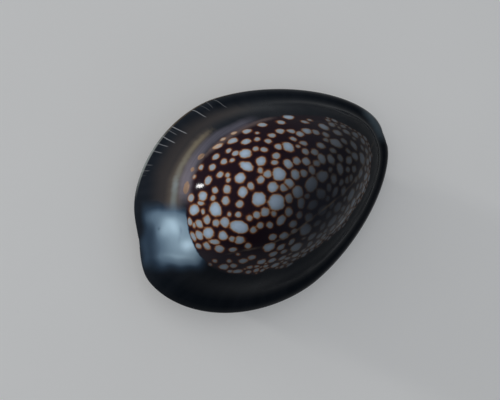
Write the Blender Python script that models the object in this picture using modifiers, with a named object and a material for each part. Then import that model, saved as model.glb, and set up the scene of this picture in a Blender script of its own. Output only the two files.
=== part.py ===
"""A snakehead cowrie at life size, resting on its foot with the mantle drawn in.

The animal faces +X, its left side is +Y, and its sole lies on z = 0. Every size below is measured
from the line through both tips of the shell, and the whole is then moved so that the middle of its
box is at x = y = 0.
"""

import math

import bmesh
import bpy
from mathutils import Vector

MM = 0.001
GAP = 0.3 * MM

TIP_LINE_PLACE = Vector((0.080 * MM, -0.941 * MM, 0.0))


def outline(front, back, left, right, squareness, taper_left, taper_right, middle):
    """The sizes of one level outline of the shell. Both half-widths shrink forwards by their taper."""
    return {
        "front": front * MM,
        "back": back * MM,
        "left": left * MM,
        "right": right * MM,
        "squareness": squareness,
        "taper_left": taper_left,
        "taper_right": taper_right,
        "middle": Vector((middle[0] * MM, middle[1] * MM)),
    }


# The shell from above: its flared edge, the ring where its hump begins, and its highest point
EDGE = outline(15.0, 15.0, 11.45, 9.68, 1.80, 0.18, 0.11, (0.0, 0.0))
HUMP_RING = outline(10.30, 10.64, 7.60, 6.08, 1.87, 0.21, 0.06, (-0.62, 0.55))
SUMMIT = Vector((-1.6 * MM, 1.0 * MM))
BASE_MIDDLE = Vector((0.0, 0.0))

# Shallow dents in the edge where the canals leave: angle, depth and half-width in degrees
EDGE_DENTS = ((163.0, 0.55 * MM, 11.0), (-3.0, 0.28 * MM, 10.0))

# The shell from the side: how far along from one outline to the next, and the height in millimetres
BASE_PROFILE = ((0.00, 2.35), (0.40, 2.35), (0.78, 2.30), (0.935, 2.50))
MARGIN_PROFILE = (
    (0.00, 3.20),
    (0.05, 3.88),
    (0.15, 4.45),
    (0.34, 5.02),
    (0.52, 6.25),
    (0.74, 8.25),
)
HUMP_PROFILE = (
    (0.00, 9.90),
    (0.07, 10.77),
    (0.16, 11.74),
    (0.29, 12.92),
    (0.45, 14.00),
    (0.64, 14.86),
    (0.83, 15.35),
    (1.00, 15.50),
)
SHELL_SEGMENTS = 84
RINGS_PER_SPAN = 2

# The aperture: a long slot on the right of the middle that bends left behind
SLOT_END = 15.8 * MM
SLOT_SECTIONS = 25
SLOT_Y = -1.3 * MM
SLOT_BEND_BACK = 4.5 * MM
SLOT_BEND_FRONT = 0.6 * MM
SLOT_WIDTH = 1.5 * MM
CANAL_WIDTH_FRONT = 2.5 * MM
CANAL_WIDTH_BACK = 2.0 * MM
CANAL_START = 0.76
LIP_ROUND = 0.55 * MM
LIP_TOP = 3.05 * MM
SLOT_TOP = 5.6 * MM
CANAL_TOP_FRONT = 4.05 * MM
CANAL_TOP_BACK = 3.4 * MM
SLOT_BELOW = 1.2 * MM
ROOF_FALL = (0.55, 0.90)

# The teeth along both lips: count, first and last place, half-lengths
LIP_TEETH = {
    "outer": {"side": -1, "count": 15, "back": -11.4 * MM, "front": 11.9 * MM, "reach": 1.25 * MM},
    "columella": {"side": 1, "count": 13, "back": -10.4 * MM, "front": 11.5 * MM, "reach": 1.05 * MM},
}
TOOTH_HALF_WIDTH = 0.34 * MM
TOOTH_HALF_HEIGHT = 0.46 * MM
TOOTH_INTO_SLOT = 0.34 * MM
TOOTH_LEVEL = 2.62 * MM

# The foot: a long flat plate with a low neck under the aperture
FOOT_FRONT = 9.6 * MM
FOOT_BACK = -12.2 * MM
FOOT_HALF_WIDTH = 6.2 * MM
FOOT_POWER = 2.3
FOOT_TAPER = 0.10
FOOT_SECTIONS = 33
PLATE_EDGE = 0.58 * MM
PLATE_TOP = 0.92 * MM
PLATE_ROUND = 0.3 * MM
PLATE_CROWN = 0.12 * MM
NECK_TOP = 1.85 * MM
NECK_HALF_WIDTH = 1.25 * MM
NECK_SLOPE = 0.45 * MM
NECK_ENDS = 2.4 * MM
NECK_NARROWS_AT = 2.6 * MM

# The mantle: one narrow frilled ribbon beside each side of the neck
MANTLE_BOTTOM = 1.24 * MM
MANTLE_TOP = 1.82 * MM
MANTLE_BACK = -10.6 * MM
MANTLE_FRONT = 9.4 * MM
MANTLE_WIDTH = 2.5 * MM
MANTLE_END_WIDTH = 0.7 * MM
MANTLE_SECTIONS = 61
FRILL = 0.26 * MM
FRILLS = 12
RIBBON_ROUND = 0.16 * MM

# The head and what it carries
HEAD_MIDDLE = Vector((11.5 * MM, -0.7 * MM, 1.15 * MM))
HEAD_HALF_LENGTH = 1.6 * MM
HEAD_HALF_WIDTH = 1.25 * MM
HEAD_HALF_HEIGHT = 0.78 * MM
MOUTH_WIDTH = 0.28 * MM
MOUTH_DEPTH = 0.5 * MM
TENTACLE_RADIUS = 0.34 * MM
TENTACLE_LEVEL = 1.4 * MM
TENTACLE_SECTIONS = 15
EYE_RADIUS = 0.29 * MM
EYE_BEHIND_TENTACLE = 0.3 * MM
SIPHON_RADIUS = 0.62 * MM
SIPHON_HOLE = 0.24 * MM
SIPHON_BACK = 11.9 * MM
SIPHON_LENGTH = 2.3 * MM
SIPHON_LEVEL = 3.08 * MM
SIPHON_SEGMENTS = 20


def clear_scene():
    for obj in list(bpy.data.objects):
        bpy.data.objects.remove(obj, do_unlink=True)


def new_collection(name):
    collection = bpy.data.collections.new(name)
    bpy.context.scene.collection.children.link(collection)
    return collection


def new_material(name, colour, roughness, coat=0.0):
    material = bpy.data.materials.new(name)
    material.use_nodes = True
    shader = material.node_tree.nodes["Principled BSDF"]
    shader.inputs["Base Color"].default_value = (*colour, 1.0)
    shader.inputs["Roughness"].default_value = roughness
    shader.inputs["Metallic"].default_value = 0.0
    shader.inputs["Coat Weight"].default_value = coat
    return material


def new_object(name, mesh, collection, material=None):
    obj = bpy.data.objects.new(name, mesh)
    collection.objects.link(obj)
    if material:
        mesh.materials.append(material)
    return obj


def finish_mesh(bm, name):
    """The bmesh as a smooth-shaded mesh whose faces point outwards."""
    bmesh.ops.recalc_face_normals(bm, faces=bm.faces)
    mesh = bpy.data.meshes.new(name)
    bm.to_mesh(mesh)
    bm.free()
    mesh.shade_smooth()
    return mesh


def loft(name, rings):
    """A closed body through rings of equally many points, capped at both ends."""
    bm = bmesh.new()
    rows = [[bm.verts.new(point) for point in ring] for ring in rings]
    count = len(rows[0])
    for row, following in zip(rows, rows[1:]):
        for i in range(count):
            j = (i + 1) % count
            bm.faces.new((row[i], row[j], following[j], following[i]))
    bm.faces.new(rows[0])
    bm.faces.new(rows[-1])
    bmesh.ops.triangulate(bm, faces=bm.faces)
    return finish_mesh(bm, name)


def ellipsoid(name, half_sizes, segments, rings):
    bm = bmesh.new()
    bmesh.ops.create_uvsphere(bm, u_segments=segments, v_segments=rings, radius=1.0)
    bmesh.ops.scale(bm, vec=half_sizes, verts=bm.verts)
    return finish_mesh(bm, name)


def smooth_step(value):
    value = min(max(value, 0.0), 1.0)
    return value * value * (3.0 - 2.0 * value)


def power(value, squareness):
    return math.copysign(abs(value) ** (2.0 / squareness), value)


def outline_point(shape, angle):
    """The point of an outline at this angle, where 0 is the front and a quarter turn the left."""
    ahead = math.cos(angle)
    across = math.sin(angle)
    length = shape["front"] if ahead > 0 else shape["back"]
    width = shape["left"] if across > 0 else shape["right"]
    taper = shape["taper_left"] if across > 0 else shape["taper_right"]
    x = length * power(ahead, shape["squareness"])
    y = width * (1.0 - taper * ahead) * power(across, shape["squareness"])
    return shape["middle"] + Vector((x, y))


def edge_point(angle):
    """The shell's edge at this angle, with its dents."""
    point = outline_point(EDGE, angle)
    inward = (EDGE["middle"] - point).normalized()
    for at, depth, half_width in EDGE_DENTS:
        turn = (math.degrees(angle) - at + 180.0) % 360.0 - 180.0
        point += inward * depth * math.exp(-((turn / half_width) ** 2))
    return point


def across_from(point, middle):
    """The point as far on the other side of the middle, at the same height."""
    return Vector((2.0 * middle.x - point.x, 2.0 * middle.y - point.y, point.z))


def meridian(angle):
    """The points that the shell's surface passes at this angle, from the middle of the base to the summit.

    One more at each end lies past the middle, so that the surface runs level through it.
    """
    edge = edge_point(angle)
    ring = outline_point(HUMP_RING, angle)
    spans = (
        (BASE_MIDDLE, edge, BASE_PROFILE),
        (edge, ring, MARGIN_PROFILE),
        (ring, SUMMIT, HUMP_PROFILE),
    )
    points = []
    for start, end, profile in spans:
        for share, height in profile:
            level = start.lerp(end, share)
            points.append(Vector((level.x, level.y, height * MM)))
    first = across_from(points[1], points[0])
    last = across_from(points[-2], points[-1])
    return [first, *points, last]


def along_curve(points, share):
    """The point this share of the way along a smooth curve through all but the first and last points.

    The first and last points steer its ends.
    """
    spans = len(points) - 3
    place = min(int(share * spans), spans - 1)
    u = share * spans - place
    before, here, there, after = points[place : place + 4]
    linear = (there - before) * u
    square = (2.0 * before - 5.0 * here + 4.0 * there - after) * u**2
    cube = (3.0 * here - before - 3.0 * there + after) * u**3
    return 0.5 * (2.0 * here + linear + square + cube)


def shell_body():
    """A sphere whose poles go to the base and the summit and whose meridians follow the profile."""
    spans = len(BASE_PROFILE) + len(MARGIN_PROFILE) + len(HUMP_PROFILE) - 1
    bm = bmesh.new()
    rings = RINGS_PER_SPAN * spans
    bmesh.ops.create_uvsphere(bm, u_segments=SHELL_SEGMENTS, v_segments=rings, radius=1.0)
    for vertex in bm.verts:
        angle = math.atan2(vertex.co.y, vertex.co.x)
        share = 0.5 + math.asin(max(-1.0, min(1.0, vertex.co.z))) / math.pi
        vertex.co = along_curve(meridian(angle), share)
    return finish_mesh(bm, "shell")


def slot_y(x):
    """Where the middle of the aperture lies across the shell."""
    along = x / SLOT_END
    bend = SLOT_BEND_BACK * max(0.0, 0.1 - along) ** 2 + SLOT_BEND_FRONT * max(0.0, along) ** 2
    return SLOT_Y + bend


def slot_width(x):
    along = x / SLOT_END
    widening = smooth_step((abs(along) - CANAL_START) / (1.0 - CANAL_START))
    canal = CANAL_WIDTH_FRONT if along > 0 else CANAL_WIDTH_BACK
    return SLOT_WIDTH + (canal - SLOT_WIDTH) * widening


def slot_cutter(collection):
    """The body that the aperture takes out of the shell, wider where the lips are rounded."""
    rings = []
    for i in range(SLOT_SECTIONS):
        x = SLOT_END * (2.0 * i / (SLOT_SECTIONS - 1) - 1.0)
        half = slot_width(x) / 2.0
        middle = slot_y(x)
        fall = (abs(x) / SLOT_END - ROOF_FALL[0]) / (ROOF_FALL[1] - ROOF_FALL[0])
        canal_top = CANAL_TOP_FRONT if x > 0 else CANAL_TOP_BACK
        roof = SLOT_TOP + (canal_top - SLOT_TOP) * smooth_step(fall)
        right = (
            (half + LIP_ROUND * 1.6, SLOT_BELOW),
            (half + LIP_ROUND * 0.9, LIP_TOP - LIP_ROUND * 1.3),
            (half + LIP_ROUND * 0.3, LIP_TOP - LIP_ROUND * 0.6),
            (half, LIP_TOP),
            (half, roof - LIP_ROUND * 0.5),
            (half * 0.5, roof),
        )
        left = [(-across, height) for across, height in reversed(right)]
        rings.append([(x, middle + across, height) for across, height in (*right, *left)])
    cutter = new_object("aperture_cutter", loft("aperture_cutter", rings), collection)
    cutter.hide_render = True
    cutter.display_type = "WIRE"
    return cutter


def tooth(name, x, side, reach, size, collection):
    """One rounded ridge that crosses a lip and ends in the slot."""
    half_sizes = (TOOTH_HALF_WIDTH * size, reach, TOOTH_HALF_HEIGHT * size)
    obj = new_object(name, ellipsoid(name, half_sizes, 8, 6), collection)
    inner_end = slot_y(x) + side * (slot_width(x) / 2.0 - TOOTH_INTO_SLOT)
    obj.location = (x, inner_end + side * reach, TOOTH_LEVEL)
    return obj


def add_teeth(collection):
    for lip, row in LIP_TEETH.items():
        for i in range(row["count"]):
            share = i / (row["count"] - 1)
            x = row["back"] + (row["front"] - row["back"]) * share
            size = 1.0 - 0.25 * abs(2.0 * share - 1.0) ** 3
            reach = row["reach"] * (1.0 - 0.2 * abs(2.0 * share - 1.0) ** 2)
            tooth(f"tooth_{lip}_{i + 1}", x, row["side"], reach, size, collection)


def keep_largest(obj):
    """Drops all but the largest closed surface of a mesh."""
    bm = bmesh.new()
    bm.from_mesh(obj.data)
    left = set(bm.faces)
    surfaces = []
    while left:
        stack = [left.pop()]
        surface = set(stack)
        while stack:
            face = stack.pop()
            for edge in face.edges:
                for other in edge.link_faces:
                    if other in left:
                        left.discard(other)
                        surface.add(other)
                        stack.append(other)
        surfaces.append(surface)
    largest = max(surfaces, key=lambda surface: sum(face.calc_area() for face in surface))
    for surface in surfaces:
        if surface is not largest:
            bmesh.ops.delete(bm, geom=list(surface), context="FACES")
    bm.to_mesh(obj.data)
    bm.free()


def apply_boolean(obj, operation, other=None, collection=None):
    """Cuts or joins for good, so that the helpers can be taken away."""
    modifier = obj.modifiers.new(operation.lower(), "BOOLEAN")
    modifier.operation = operation
    modifier.solver = "EXACT"
    if collection:
        modifier.operand_type = "COLLECTION"
        modifier.collection = collection
    else:
        modifier.object = other
    graph = bpy.context.evaluated_depsgraph_get()
    result = bpy.data.meshes.new_from_object(obj.evaluated_get(graph))
    obj.modifiers.clear()
    obj.data = result


def remove_all(collection):
    for obj in list(collection.objects):
        bpy.data.objects.remove(obj, do_unlink=True)


def shell(parts, helpers):
    enamel = new_material("enamel", (0.045, 0.022, 0.018), 0.16, coat=0.6)
    obj = new_object("shell", shell_body(), parts, enamel)
    apply_boolean(obj, "DIFFERENCE", other=slot_cutter(helpers))
    remove_all(helpers)
    add_teeth(helpers)
    apply_boolean(obj, "UNION", collection=helpers)
    remove_all(helpers)
    keep_largest(obj)
    obj.data.shade_smooth()
    obj.data.set_sharp_from_angle(angle=math.radians(50))


def foot_half_width(x):
    middle = (FOOT_FRONT + FOOT_BACK) / 2.0
    along = (x - middle) / ((FOOT_FRONT - FOOT_BACK) / 2.0)
    width = FOOT_HALF_WIDTH * (1.0 + FOOT_TAPER * along)
    return width * max(0.0, 1.0 - abs(along) ** FOOT_POWER) ** (1.0 / FOOT_POWER)


def foot(parts):
    """Level sections from tail to front, each with a flat sole and the neck on top."""
    flesh = new_material("foot_skin", (0.16, 0.13, 0.10), 0.45)
    rings = []
    for i in range(FOOT_SECTIONS):
        turn = math.pi * (i + 0.5) / FOOT_SECTIONS
        x = (FOOT_FRONT + FOOT_BACK) / 2.0 - (FOOT_FRONT - FOOT_BACK) / 2.0 * math.cos(turn)
        half = foot_half_width(x)
        near_end = min(x - FOOT_BACK, FOOT_FRONT - x) / NECK_ENDS
        rise = (NECK_TOP - PLATE_TOP) * smooth_step(near_end - 0.35)
        middle = slot_y(x)
        edge = min(PLATE_ROUND, half * 0.3)
        inner_right = min(middle - NECK_HALF_WIDTH - NECK_SLOPE, middle - 0.1 * MM)
        inner_left = max(middle + NECK_HALF_WIDTH + NECK_SLOPE, middle + 0.1 * MM)
        shrink = min(1.0, half / NECK_NARROWS_AT)
        tops = (
            (middle + (inner_right - middle) * shrink, PLATE_TOP),
            (middle - NECK_HALF_WIDTH * shrink, PLATE_TOP + rise * 0.72),
            (middle - NECK_HALF_WIDTH * 0.6 * shrink, PLATE_TOP + rise),
            (middle + NECK_HALF_WIDTH * 0.6 * shrink, PLATE_TOP + rise),
            (middle + NECK_HALF_WIDTH * shrink, PLATE_TOP + rise * 0.72),
            (middle + (inner_left - middle) * shrink, PLATE_TOP),
        )
        crown = PLATE_EDGE + (PLATE_TOP - PLATE_EDGE) * 0.55 + PLATE_CROWN
        side = ((half - edge, 0.0), (half, PLATE_EDGE * 0.45), (half - edge * 0.6, PLATE_EDGE))
        section = list(side)
        section.append(((half - edge + tops[-1][0]) / 2.0, crown))
        section += list(reversed(tops))
        section.append(((edge - half + tops[0][0]) / 2.0, crown))
        section += [(-across, height) for across, height in reversed(side)]
        rings.append([(x, y, z) for y, z in section])
    new_object("foot", loft("foot", rings), parts, flesh)


def mantle(name, side, parts, flesh):
    """One ribbon between the neck and the shell's base, with its frill outwards."""
    inner = NECK_HALF_WIDTH + NECK_SLOPE + GAP
    rings = []
    for i in range(MANTLE_SECTIONS):
        share = i / (MANTLE_SECTIONS - 1)
        x = MANTLE_BACK + (MANTLE_FRONT - MANTLE_BACK) * share
        bow = math.sqrt(max(0.0, 1.0 - (2.0 * share - 1.0) ** 2))
        width = MANTLE_END_WIDTH + (MANTLE_WIDTH - MANTLE_END_WIDTH) * bow
        width += FRILL * bow * math.sin(2.0 * math.pi * FRILLS * share)
        section = (
            (inner + RIBBON_ROUND, MANTLE_BOTTOM),
            (inner + width - RIBBON_ROUND, MANTLE_BOTTOM),
            (inner + width, (MANTLE_BOTTOM + MANTLE_TOP) / 2.0),
            (inner + width - RIBBON_ROUND, MANTLE_TOP),
            (inner + RIBBON_ROUND, MANTLE_TOP),
            (inner, (MANTLE_BOTTOM + MANTLE_TOP) / 2.0),
        )
        rings.append([(x, slot_y(x) + side * across, height) for across, height in section])
    new_object(name, loft(name, rings), parts, flesh)


def head(parts, helpers, flesh):
    """A short snout with an upright mouth slit at its tip."""
    half_sizes = (HEAD_HALF_LENGTH, HEAD_HALF_WIDTH, HEAD_HALF_HEIGHT)
    obj = new_object("head", ellipsoid("head", half_sizes, 28, 16), parts, flesh)
    obj.location = HEAD_MIDDLE
    mouth_sizes = (MOUTH_DEPTH, MOUTH_WIDTH / 2.0, HEAD_HALF_HEIGHT * 0.62)
    mouth = new_object("mouth_cutter", ellipsoid("mouth_cutter", mouth_sizes, 12, 10), helpers)
    mouth.location = HEAD_MIDDLE + Vector((HEAD_HALF_LENGTH, 0.0, 0.0))
    bpy.context.view_layer.update()
    apply_boolean(obj, "DIFFERENCE", other=mouth)
    remove_all(helpers)


def tentacle(name, side, parts, flesh):
    """A tapered feeler that leaves the head sideways and folds back along the foot."""
    root = HEAD_HALF_WIDTH + GAP - 0.05 * MM
    route = (
        (-0.2 * MM, root - 0.9 * MM),
        (0.0, root),
        (0.35 * MM, root + 1.1 * MM),
        (0.15 * MM, root + 2.2 * MM),
        (-0.55 * MM, root + 3.2 * MM),
        (-1.55 * MM, root + 3.9 * MM),
        (-2.65 * MM, root + 4.2 * MM),
        (-3.8 * MM, root + 4.4 * MM),
    )
    points = [
        Vector((HEAD_MIDDLE.x + ahead, HEAD_MIDDLE.y + side * across, TENTACLE_LEVEL))
        for ahead, across in route
    ]
    curve = bpy.data.curves.new(name, "CURVE")
    curve.dimensions = "3D"
    curve.bevel_depth = TENTACLE_RADIUS
    curve.bevel_resolution = 2
    curve.use_fill_caps = True
    spline = curve.splines.new("POLY")
    spline.points.add(TENTACLE_SECTIONS)
    for i, point in enumerate(spline.points):
        share = i / TENTACLE_SECTIONS
        point.co = (*along_curve(points, share), 1.0)
        point.radius = (1.0 - 0.55 * share) * math.sqrt(1.0 - 0.97 * share**8)
    curve.materials.append(flesh)
    obj = bpy.data.objects.new(name, curve)
    parts.objects.link(obj)


def eye(name, side, parts, black):
    """A small bead beside the head, behind the root of its feeler."""
    half_sizes = (EYE_RADIUS, EYE_RADIUS, EYE_RADIUS)
    obj = new_object(name, ellipsoid(name, half_sizes, 16, 10), parts, black)
    ahead = -TENTACLE_RADIUS - GAP - EYE_RADIUS - EYE_BEHIND_TENTACLE
    across = HEAD_HALF_WIDTH + EYE_RADIUS
    obj.location = HEAD_MIDDLE + Vector((ahead, side * across, TENTACLE_LEVEL - HEAD_MIDDLE.z))


def siphon(parts, flesh):
    """A short tube in the front canal, turned from its profile and laid along X."""
    lip = SIPHON_LENGTH
    profile = (
        (0.0, lip - 0.8 * MM),
        (SIPHON_HOLE * 0.8, lip - 0.7 * MM),
        (SIPHON_HOLE, lip - 0.15 * MM),
        (SIPHON_HOLE + 0.13 * MM, lip),
        (SIPHON_RADIUS - 0.1 * MM, lip - 0.06 * MM),
        (SIPHON_RADIUS, lip - 0.3 * MM),
        (SIPHON_RADIUS * 0.92, lip * 0.5),
        (SIPHON_RADIUS, 0.25 * MM),
        (SIPHON_RADIUS * 0.7, 0.0),
        (0.0, 0.0),
    )
    mesh = bpy.data.meshes.new("siphon")
    verts = [(radius, 0.0, height) for radius, height in profile]
    mesh.from_pydata(verts, [(i, i + 1) for i in range(len(profile) - 1)], [])
    obj = new_object("siphon", mesh, parts, flesh)
    screw = obj.modifiers.new("turn", "SCREW")
    screw.steps = SIPHON_SEGMENTS
    screw.render_steps = SIPHON_SEGMENTS
    screw.use_merge_vertices = True
    screw.merge_threshold = 0.00001
    obj.rotation_euler = (0.0, math.radians(90.0), 0.0)
    obj.location = (SIPHON_BACK, slot_y(SIPHON_BACK + SIPHON_LENGTH / 2.0), SIPHON_LEVEL)


def main():
    clear_scene()
    parts = new_collection("snakehead_cowrie")
    helpers = new_collection("cutters")
    shell(parts, helpers)
    foot(parts)
    mantle_skin = new_material("mantle_skin", (0.10, 0.085, 0.075), 0.4)
    head_skin = new_material("head_skin", (0.20, 0.16, 0.13), 0.42)
    eye_black = new_material("eye_black", (0.01, 0.01, 0.012), 0.1)
    head(parts, helpers, head_skin)
    for side, name in ((1, "left"), (-1, "right")):
        mantle(f"mantle_{name}", side, parts, mantle_skin)
        tentacle(f"tentacle_{name}", side, parts, head_skin)
        eye(f"eye_{name}", side, parts, eye_black)
    siphon(parts, mantle_skin)
    bpy.data.collections.remove(helpers)
    tip_line = bpy.data.objects.new("tip_line", None)
    tip_line.location = TIP_LINE_PLACE
    parts.objects.link(tip_line)
    for obj in list(parts.objects):
        if obj is not tip_line:
            obj.parent = tip_line


main()
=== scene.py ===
import math

import bmesh
import bpy
import numpy as np
from mathutils import Matrix, Vector, noise
from mathutils.kdtree import KDTree


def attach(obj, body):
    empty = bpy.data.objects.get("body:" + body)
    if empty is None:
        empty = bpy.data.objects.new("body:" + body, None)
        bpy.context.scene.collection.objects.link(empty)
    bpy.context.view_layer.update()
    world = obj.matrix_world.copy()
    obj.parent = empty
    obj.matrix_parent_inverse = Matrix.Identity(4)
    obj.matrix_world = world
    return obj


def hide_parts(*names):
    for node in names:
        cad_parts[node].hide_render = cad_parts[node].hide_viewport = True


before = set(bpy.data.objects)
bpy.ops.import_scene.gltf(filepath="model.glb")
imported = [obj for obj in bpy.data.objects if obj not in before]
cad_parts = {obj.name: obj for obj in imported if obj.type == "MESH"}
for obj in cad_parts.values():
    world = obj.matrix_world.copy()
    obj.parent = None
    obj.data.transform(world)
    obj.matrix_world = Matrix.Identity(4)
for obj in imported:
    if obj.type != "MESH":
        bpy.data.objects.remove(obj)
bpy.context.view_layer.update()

# Everything is made in millimetres from the line through both tips of the shell, facing +X with its
# left side to +Y, and is then moved and scaled into the frame.
MM = 0.001
TIP_LINE_PLACE = np.array([0.080, -0.941, 0.0])

# The shell from above: its edge and the ring where the spotted hump begins
EDGE = dict(front=15.0, back=15.0, left=11.45, right=9.68, squareness=1.80, taper_left=0.18, taper_right=0.11,
            middle=(0.0, 0.0))
HUMP_RING = dict(front=10.30, back=10.64, left=7.60, right=6.08, squareness=1.87, taper_left=0.21,
                 taper_right=0.06, middle=(-0.62, 0.55))
SUMMIT = (-1.6, 1.0)
BASE_MIDDLE = (0.0, 0.0)
EDGE_DENTS = ((163.0, 0.55, 11.0), (-3.0, 0.28, 10.0))

# The shell from the side: how far along from one outline to the next, and the height
BASE_PROFILE = ((0.00, 2.35), (0.40, 2.35), (0.78, 2.30), (0.935, 2.50))
MARGIN_PROFILE = ((0.00, 3.20), (0.05, 3.88), (0.15, 4.45), (0.34, 5.02), (0.52, 6.25), (0.74, 8.25))
EDGE_LEVEL = MARGIN_PROFILE[0][1]
# Where the margin flares a little less, as an angle from the front and a half-width in degrees
LESS_FLARED = (127.0, 22.0)
LESS_FLARED_RISE = (0.0, -0.15, -0.30, 0.35, 0.10, 0.0)
HUMP_PROFILE = ((0.00, 9.90), (0.07, 10.77), (0.16, 11.74), (0.29, 12.92), (0.45, 14.00), (0.64, 14.86),
                (0.83, 15.35), (1.00, 15.50))
SPANS = len(BASE_PROFILE) + len(MARGIN_PROFILE) + len(HUMP_PROFILE) - 1
EDGE_SHARE = len(BASE_PROFILE) / SPANS
RING_SHARE = (len(BASE_PROFILE) + len(MARGIN_PROFILE)) / SPANS
SEGMENTS = 720
ANGLES = np.arange(SEGMENTS) * math.tau / SEGMENTS
RINGS_PER_SPAN = 17
SMOOTH_REACH = 5.0

# The aperture and its teeth
SLOT_END = 15.8
SLOT_SECTIONS = 181
SLOT_Y = -1.3
SLOT_BEND_BACK = 4.5
SLOT_BEND_FRONT = 0.6
SLOT_WIDTH = 1.5
CANAL_WIDTH_FRONT = 2.5
CANAL_WIDTH_BACK = 2.0
CANAL_START = 0.76
LIP_ROUND = 0.55
LIP_TOP = 3.05
SLOT_TOP = 5.6
CANAL_TOP_FRONT = 4.05
CANAL_TOP_BACK = 3.4
SLOT_BELOW = 1.2
ROOF_FALL = (0.55, 0.90)
LIP_TEETH = (
    dict(side=-1, count=15, back=-11.4, front=11.9, reach=1.25),
    dict(side=1, count=13, back=-10.4, front=11.5, reach=1.05),
)
TOOTH_HALF_WIDTH = 0.34
TOOTH_HALF_HEIGHT = 0.46
TOOTH_INTO_SLOT = 0.34
TOOTH_LEVEL = 2.62

# The foot, its neck, the mantle's ribbons, the head and what it carries
FOOT_FRONT = 9.6
FOOT_BACK = -12.2
FOOT_HALF_WIDTH = 6.2
FOOT_POWER = 2.3
FOOT_TAPER = 0.10
FOOT_SECTIONS = 241
PLATE_EDGE = 0.58
PLATE_TOP = 0.92
RUFFLE = 0.09
RUFFLE_LENGTH = 1.9
NECK_FRONT = 9.0
NECK_BACK = -11.0
NECK_HALF_WIDTH = 1.25
NECK_TOP = 1.98
FOLD_HALF_WIDTH = 0.36
FOLD_TOP = 3.5
MANTLE_BOTTOM = 1.24
MANTLE_TOP = 1.80
MANTLE_BACK = -10.6
MANTLE_FRONT = 9.4
MANTLE_INNER = 1.0
MANTLE_OUTER = 4.4
MANTLE_END = 2.7
FRILL = 0.24
FRILLS = 12
HEAD_MIDDLE = np.array([11.5, -0.7, 1.15])
# The rounded forms of the head: where each one's middle lies from the head's, and its half sizes
HEAD_FORMS = (((0.0, 0.0, 0.0), (1.58, 1.24, 0.77)), ((-1.9, -0.05, -0.15), (1.7, 1.0, 0.62)),
              ((0.75, 0.0, -0.12), (0.80, 0.86, 0.60)))
MOUTH_HALF_WIDTH = 0.11
MOUTH_DEPTH = 0.42
TENTACLE_RADIUS = 0.34
TENTACLE_LEVEL = 1.4
TENTACLE_ROUTE = ((-0.5, 0.3, 0.0), (0.0, 1.5, 0.04), (0.35, 2.6, 0.14), (0.15, 3.7, 0.14),
                  (-0.55, 4.7, -0.02), (-1.55, 5.4, -0.28), (-2.65, 5.7, -0.58))
EYE_RADIUS = 0.29
EYE_PLACE = (10.38, 1.54, 1.4)
SIPHON_RADIUS = 0.60
SIPHON_HOLE = 0.26
SIPHON_END = 14.2
SIPHON_LEVEL = 3.08
SKIN_VOXEL = 0.09

# The camera, fitted to the shell's outline in the photograph
PICTURE = (500, 400)
CAMERA_AZIMUTH = 250.0
CAMERA_ELEVATION = 68.08
CAMERA_ROLL = 79.92
CAMERA_DISTANCE = 160.0
CAMERA_TARGET = np.array([-2.335, 1.12, 5.0])
CAMERA_FOCAL_PIXELS = 1630.0
SENSOR_WIDTH = 36.0

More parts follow.
